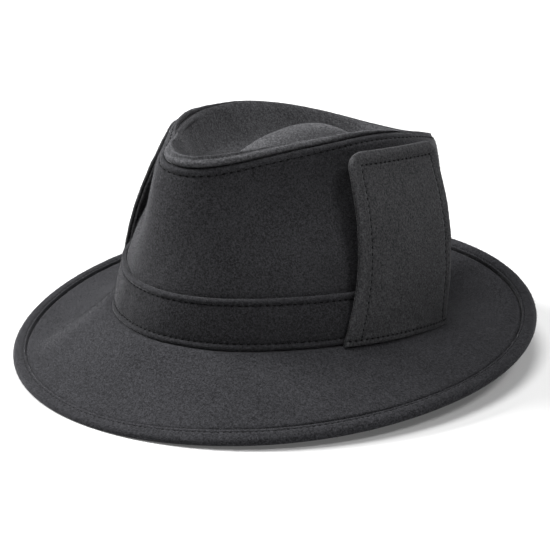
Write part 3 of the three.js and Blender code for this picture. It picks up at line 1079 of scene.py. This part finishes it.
@dataclass
class Brim:
    """The brim, turned over along its edge in a stitched hem, with a soft fold at the front right."""

    shape: BrimShape = BrimShape()
    near: tuple = (0.0, 0.06, 0.25, 0.6, 1.1, 1.6, 2.1, 2.8, 3.6, 4.6, 5.4, 5.9, 6.15, 6.4, 6.65, 6.95, 7.2,
                   7.4, 7.6, 7.9, 8.15, 8.4, 8.65, 8.9, 9.2, 9.8, 11.0, 12.6)
    far_rows: int = 26
    under_crown: float = 2.6
    inmost: float = 99.0
    fibres: int = 33500
    swells: tuple[Waves, ...] = (Waves(0.35, 38, 5.0), Waves(0.08, 8, 2.0))
    calm: float = 0.6
    calm_width: float = 12.0
    half: float = 1.9
    hem: float = 8.2
    hem_rise: float = 0.4
    hem_start: float = 2.5
    hem_roll: float = 1.0
    hem_crease: float = 1.1
    crease_out: float = 0.35
    crease_width: float = 0.7
    # Painted shade in the crease inside the hem.
    crease_painted_shade: float = 0.85
    cord: Ridge = Ridge(1.0, 7.4, 0.55)
    cord_rise: float = 0.25
    # Painted highlight on the cord.
    cord_painted_highlight: float = 0.3
    stitch_in: float = 6.4
    stitch_depth: float = 0.25
    line_width: float = 0.5
    line_painted_shade: float = 0.1
    front_fade: float = 0.75
    front_turn: float = 0.1
    front_width: float = 0.95
    fold_angle: float = math.radians(-43)
    fold_bend: float = math.radians(12)
    fold_height: float = 3.2
    fold_width: float = 16.0
    fold_widening: float = 9.0
    fold_spread: float = 50.0
    fold_end: float = 0.35
    fold_fade: float = 0.55
    valley_turn: float = math.radians(17)
    valley_depth: float = 1.2
    valley_width: float = 15.0
    lowest_under: float = 0.02
    lowest_top: float = 0.03

    def _fold(self, angle: Array, share: Array) -> Array:
        """Shapes the soft fold that runs out from the band.

        Args:
            angle: angles around the hat.
            share: 0 beside the band to 1 at the edge.

        Returns:
            The fold's heights.
        """
        turn = wrapped(angle - (self.fold_angle + self.fold_bend * share))
        reach = self.shape.head.half_length + self.fold_spread * share
        fold = self.fold_height * hump(turn * reach, self.fold_width + self.fold_widening * share)
        valley = self.valley_depth * hump((turn + self.valley_turn) * reach, self.valley_width)
        valley = valley * np.sin(np.pi * share)
        return (fold - valley) * (1 - smooth((share - self.fold_end) / self.fold_fade))

    def build(self, shop: Workshop) -> None:
        """Makes the brim and its stitches.

        Args:
            shop: takes the finished pieces.
        """
        angle = angles()
        full = np.linalg.norm(self.shape.edge(angle) - self.shape.seat(angle, self.shape.seat_out), axis=-1)
        rows = [full - distance for distance in self.near]
        last = rows[-1]
        rows += [last * (1 - share) for share in np.linspace(0, 1, self.far_rows)[1:]]
        share = np.array(rows) / full
        around = np.broadcast_to(angle, share.shape)
        middle = self.shape.middle(around, share)
        middle[..., 2] += self._fold(around, share)
        inward = self.shape.seat(angle, -self.under_crown)
        middle = np.concatenate([middle, inward[None]])
        distance = np.concatenate([(1 - share) * full, np.full((1, len(angle)), self.inmost)])
        square = squares(middle, True)
        rise = uneven(middle, self.swells)
        rise = rise * (smooth(distance / self.calm_width) * self.calm + (1 - self.calm))
        rise[-1] = 0
        thick = self.half - rounded(distance, self.half)
        plain = 1 - self.front_fade * hump(wrapped(angle - self.front_turn), self.front_width)
        line = hump(distance - self.stitch_in, self.line_width)
        cord = plain * self.cord(distance)
        past = distance - self.hem
        crease = plain * hump(past - self.crease_out, self.crease_width)
        hem = 1 - smooth((past + self.crease_out) / self.crease_width)
        hem = plain * self.hem_rise * hem * smooth(distance / self.hem_start)
        roll = self.hem_roll * plain * arch(distance, self.hem)
        turned = hem + roll - self.stitch_depth * line + self.cord_rise * cord - self.hem_crease * crease
        top = lifted(middle, square, rise + thick + turned)
        under = lifted(middle, square, rise - thick)
        under[..., 2] = np.maximum(under[..., 2], self.lowest_under)
        top[..., 2] = np.maximum(top[..., 2], self.lowest_top)
        # Painted shade in the crease inside the hem and along the stitch line; painted highlight on the cord.
        painted_darkness = self.crease_painted_shade * crease + self.line_painted_shade * line
        piece = FeltBody("brim_felt_body", True).build(top, under, painted_darkness, self.cord_painted_highlight * cord)
        shop.hand_over(piece, Felt.BRIM, "brim", nap=self.fibres)
        row = self.near.index(self.stitch_in)
        stitches = Stitches(pitch=3.2, length=1.6, width=0.6, height=0.3)
        stitches.along(top[row], square[row], closed=True)
        shop.sew("brim_stitches", stitches)


@dataclass
class HatBand:
    """The band, a strip of felt with folded and stitched edges around the crown's foot."""

    crown: CrownShape = CrownShape()
    height: float = 26.6
    thickness: float = 2.2
    clearance: float = 0.3
    near: tuple = (0.0, 0.06, 0.2, 0.45, 0.8, 1.15, 1.6, 2.1, 2.6, 2.95, 3.2, 3.5, 3.8, 4.1, 4.7, 5.6)
    far_rows: int = 12
    far_from: float = 6.5
    fibres: int = 13000
    swells: tuple[Waves, ...] = (Waves(0.45, 26, 3.0), Waves(0.18, 9, 7.0))
    stitch_in: float = 3.5
    stitch_depth: float = 0.45
    line_width: float = 0.7
    line_painted_shade: float = 0.12
    painted_highlight: Ridge = Ridge(0.35, 1.2, 1.4)
    roll: float = 0.55
    bulge: float = 0.3
    bulge_over: float = 6.0

    def build(self, shop: Workshop) -> None:
        """Makes the band and its stitches.

        Args:
            shop: takes the finished pieces.
        """
        upper = [self.height - value for value in self.near]
        inside = np.linspace(self.far_from, self.height - self.far_from, self.far_rows)
        levels = np.array(sorted({*self.near, *upper, *inside}))
        angle = angles()
        rise = self.crown.crest(angle)[..., 2] - self.crown.head.upright(angle)[..., 2]
        level = np.broadcast_to(levels[:, None], (len(levels), STEPS_AROUND))
        face = self.crown.face(level / rise)
        square = squares(face, True)
        half = self.thickness / 2
        away = np.minimum(level, self.height - level)
        bulge = self.bulge * smooth((away - self.stitch_in) / self.bulge_over)
        fold = self.roll * arch(away, self.stitch_in)
        middle = lifted(face, square, self.clearance + half + uneven(face, self.swells))
        thick = half - rounded(away, half)
        line = hump(away - self.stitch_in, self.line_width)
        outer = lifted(middle, square, thick + fold - self.stitch_depth * line + bulge)
        inner = lifted(middle, square, -thick)
        # Painted shade along both stitch lines and a painted highlight on the folded edges.
        piece = FeltBody("hat_band_felt", True).build(outer, inner, self.line_painted_shade * line, self.painted_highlight(away))
        shop.hand_over(piece, Felt.BAND, "hat_band", nap=self.fibres)
        stitches = Stitches(pitch=3.6, length=2.3, width=1.2, height=0.5)
        for wanted in (self.stitch_in, self.height - self.stitch_in):
            row = nearest(levels, wanted)
            stitches.along(outer[row], square[row], closed=True)
        shop.sew("hat_band_stitches", stitches)


@dataclass
class EarFlap:
    """An ear flap of two layers of felt, joined along their edges and stitched inside them."""

    name: str
    shape: FlapShape
    side: int = 1
    near: tuple = (0.0, 0.04, 0.15, 0.35, 0.65, 1.0, 1.35, 1.8, 2.4, 3.0, 3.4, 3.8, 4.4, 5.0, 5.6, 6.1, 6.5,
                   6.8, 7.0, 7.2, 7.5, 7.9, 8.4, 9.2)
    far_from: float = 10.2
    far_less: float = 20.0
    far_pitch: float = 1.5
    fibres: int = 11500
    swells: tuple[Waves, ...] = (Waves(0.35, 30, 4.0), Waves(0.15, 8, 1.0))
    seam_gap: float = 0.06
    lining_inset: float = 0.35
    roll: float = 0.55
    stitch_in: float = 7.0
    foot_stitch_in: float = 3.4
    foot_stitch_margin: int = 2
    stitch_depth: float = 0.45
    line_width: float = 0.7
    line_from: float = 2.0
    line_over: float = 4.0
    line_painted_shade: float = 0.1
    foot_line_painted_shade: float = 0.25
    painted_highlight: Ridge = Ridge(0.2, 1.5, 1.5)

    def _rows(self, length: float) -> Array:
        """Spreads rows across a flap, closer together near both edges.

        Args:
            length: the flap's size that way.

        Returns:
            The rows' places, as shares of the length.
        """
        count = int((length - self.far_less) / self.far_pitch)
        inside = np.linspace(self.far_from, length - self.far_from, count)
        return np.array([*self.near, *inside, *[length - value for value in reversed(self.near)]]) / length

    def build(self, shop: Workshop) -> None:
        """Makes both layers and the stitches.

        Args:
            shop: takes the finished pieces.
        """
        half = self.shape.thickness / 4
        stitches = Stitches(pitch=3.6, length=2.0, width=1.1, height=0.5)
        outer = self._layer(f"{self.name}_felt", half, 0.0, stitches)
        shop.hand_over(outer, Felt.FLAP, self.name, nap=self.fibres)
        lining = self._layer(f"{self.name}_lining", -half, self.lining_inset, None)
        shop.hand_over(lining, Felt.FLAP)
        shop.sew(f"{self.name}_stitches", stitches)

    def _layer(self, name: str, shift: float, inset: float, stitches: Stitches | None) -> bpy.types.Object:
        """Makes one layer.

        Args:
            name: the layer's name.
            shift: how far its middle lies out from the flap's middle.
            inset: how far its edges lie inside the flap's outline.
            stitches: takes the layer's rows of stitches, if it shows any.

        Returns:
            The new object.
        """
        flap = self.shape
        width, tall = flap.top_width, flap.height
        across = self._rows(width)
        beside = np.minimum(across, 1 - across) * width
        reach = 1 - rounded(beside, flap.corner) / tall
        up = self._rows(tall)[:, None] * reach[None]
        across = np.broadcast_to(across, up.shape)
        beside = np.broadcast_to(beside, up.shape)
        below = (1 - up) * tall
        corner = flap.corner - np.hypot(flap.corner - beside, flap.corner - below)
        in_corner = (beside < flap.corner) & (below < flap.corner)
        rim = np.where(in_corner, corner, np.minimum(beside, below))
        foot = up * tall
        distance = np.clip(np.minimum(rim, foot), 0, None)
        within = inset / width
        middle = flap.middle(within + across * (1 - 2 * within), up * (1 - inset / tall))
        square = squares(middle, False)
        middle = lifted(middle, square, shift + uneven(middle, self.swells))
        half = flap.thickness / 4 - self.seam_gap
        thick = half - rounded(distance, half)
        line = hump(rim - self.stitch_in, self.line_width) * smooth((foot - self.line_from) / self.line_over)
        foot_line = hump(foot - self.foot_stitch_in, self.line_width)
        turned = self.roll * arch(distance, self.stitch_in) - self.stitch_depth * (line + foot_line)
        mirror = np.array([self.side, 1, 1])
        outer = lifted(middle, square, thick + turned * (shift > 0)) * mirror
        inner = lifted(middle, square, -thick) * mirror
        # Painted shade along the stitch lines on the outer layer; painted highlight near the edges of both
        # layers.
        painted_darkness = np.clip(self.line_painted_shade * line + self.foot_line_painted_shade * foot_line, 0, 1) * (shift > 0)
        if stitches is not None:
            self._stitch(stitches, square * mirror, outer, rim, foot)
        return FeltBody(name, False).build(outer, inner, painted_darkness, self.painted_highlight(distance))

    def _stitch(self, stitches: Stitches, square: Array, outer: Array, rim: Array, foot: Array) -> None:
        """Lays the rows of stitches on the flap's outer face.

        Args:
            stitches: takes them.
            square: directions out of the felt.
            outer: the outer face's points.
            rim: distances from the free edges.
            foot: distances from the foot.
        """
        half_up, half_across = rim.shape[0] // 2, rim.shape[1] // 2
        first = nearest(rim[half_up, :half_across], self.stitch_in)
        last = rim.shape[1] - 1 - first
        low = nearest(foot[:half_up, half_across], self.foot_stitch_in)
        top = nearest(rim[half_up:, half_across], self.stitch_in) + half_up
        margin = self.foot_stitch_margin
        front = [(row, first) for row in range(low, top)]
        above = [(top, column) for column in range(first, last)]
        back = [(row, last) for row in range(top, low, -1)]
        bottom = [(low, column) for column in range(margin, rim.shape[1] - margin)]
        for route in (front + above + back, bottom):
            rows, columns = zip(*route)
            stitches.along(outer[rows, columns], square[rows, columns])


@dataclass(frozen=True)
class Lamp:
    """A soft round light that looks at the hat: its place, its width and its power in watts."""

    name: str
    place: Triple
    size: float
    power: float
    aim: Triple = (0.0, 0.0, 0.05)

    def build(self) -> None:
        """Makes the light."""
        data = bpy.data.lights.new(self.name, "AREA")
        data.shape = "DISK"
        data.size = self.size
        data.energy = self.power
        lamp = added(self.name, data)
        lamp.location = self.place
        lamp.rotation_mode = "QUATERNION"
        lamp.rotation_quaternion = (Vector(self.aim) - Vector(self.place)).to_track_quat("-Z", "Y")


@dataclass(frozen=True)
class Studio:
    """A pale floor, soft light from the upper left and the camera."""

    lamps: tuple[Lamp, ...] = (
        Lamp("key", (-2.3, -0.8, 1.8), 1.4, 225.0),
        Lamp("top", (-0.3, 0.0, 2.7), 1.6, 84.0),
        Lamp("fill", (2.0, 0.0, 2.5), 0.9, 46.0),
    )
    world_light: float = 0.15
    floor_radius: float = 12.0
    floor_shade: float = 0.5
    floor_light: float = 0.1
    azimuth: float = math.radians(40.2)
    elevation: float = math.radians(19.61)
    roll: float = math.radians(-0.52)
    distance: float = 1.16019
    target: Triple = (-0.00251, 0.00588, 0.03861)
    focal: float = 2086.72
    frame_pixels: float = 550.0
    sensor: float = 36.0
    clips: tuple[float, float] = (0.05, 60.0)

    def build(self) -> None:
        """Makes the floor, the lights and the camera."""
        self._floor()
        for lamp in self.lamps:
            lamp.build()
        self._camera()
        world = bpy.data.worlds.new("studio")
        world.use_nodes = True
        light = {"Color": (1, 1, 1, 1), "Strength": self.world_light}
        fill(world.node_tree, world.node_tree.nodes["Background"], light)
        bpy.context.scene.world = world
        bpy.context.scene.view_settings.view_transform = "Standard"

    def _floor(self) -> None:
        """Makes the floor."""
        bm = bmesh.new()
        bmesh.ops.create_circle(bm, cap_ends=True, segments=64, radius=self.floor_radius)
        floor = finished(bm, "floor", shade_smooth=False)
        made, shader = painted("floor_paint")
        fill(made.node_tree, shader, {
            "Base Color": (self.floor_shade, self.floor_shade, self.floor_shade, 1),
            "Emission Color": (1, 1, 1, 1),
            "Emission Strength": self.floor_light,
            "Roughness": 0.9,
            "Specular IOR Level": 0.1,
        })
        floor.data.materials.append(made)

    def _camera(self) -> None:
        """Makes the camera."""
        data = bpy.data.cameras.new("camera")
        data.sensor_width = self.sensor
        data.lens = self.focal / self.frame_pixels * self.sensor
        data.clip_start, data.clip_end = self.clips
        camera = added("camera", data)
        turn = Matrix.Rotation(self.azimuth, 3, "Z") @ Matrix.Rotation(math.pi / 2 - self.elevation, 3, "X")
        camera.rotation_mode = "QUATERNION"
        camera.rotation_quaternion = (turn @ Matrix.Rotation(self.roll, 3, "Z")).to_quaternion()
        camera.location = Vector(self.target) + turn @ Vector((0, 0, self.distance))
        bpy.context.scene.camera = camera


def main() -> None:
    """Builds the hat's pieces in order."""
    logging.basicConfig(level=logging.INFO)
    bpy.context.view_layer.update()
    Studio().build()
    shop = Workshop()
    Crown().build(shop)
    Brim().build(shop)
    HatBand().build(shop)
    EarFlap("ear_flap_left", FlapShape(waist=4.5)).build(shop)
    EarFlap("ear_flap_right", FlapShape(corner=4.0, drop=4.0), side=-1).build(shop)


if __name__ == "__main__":
    main()
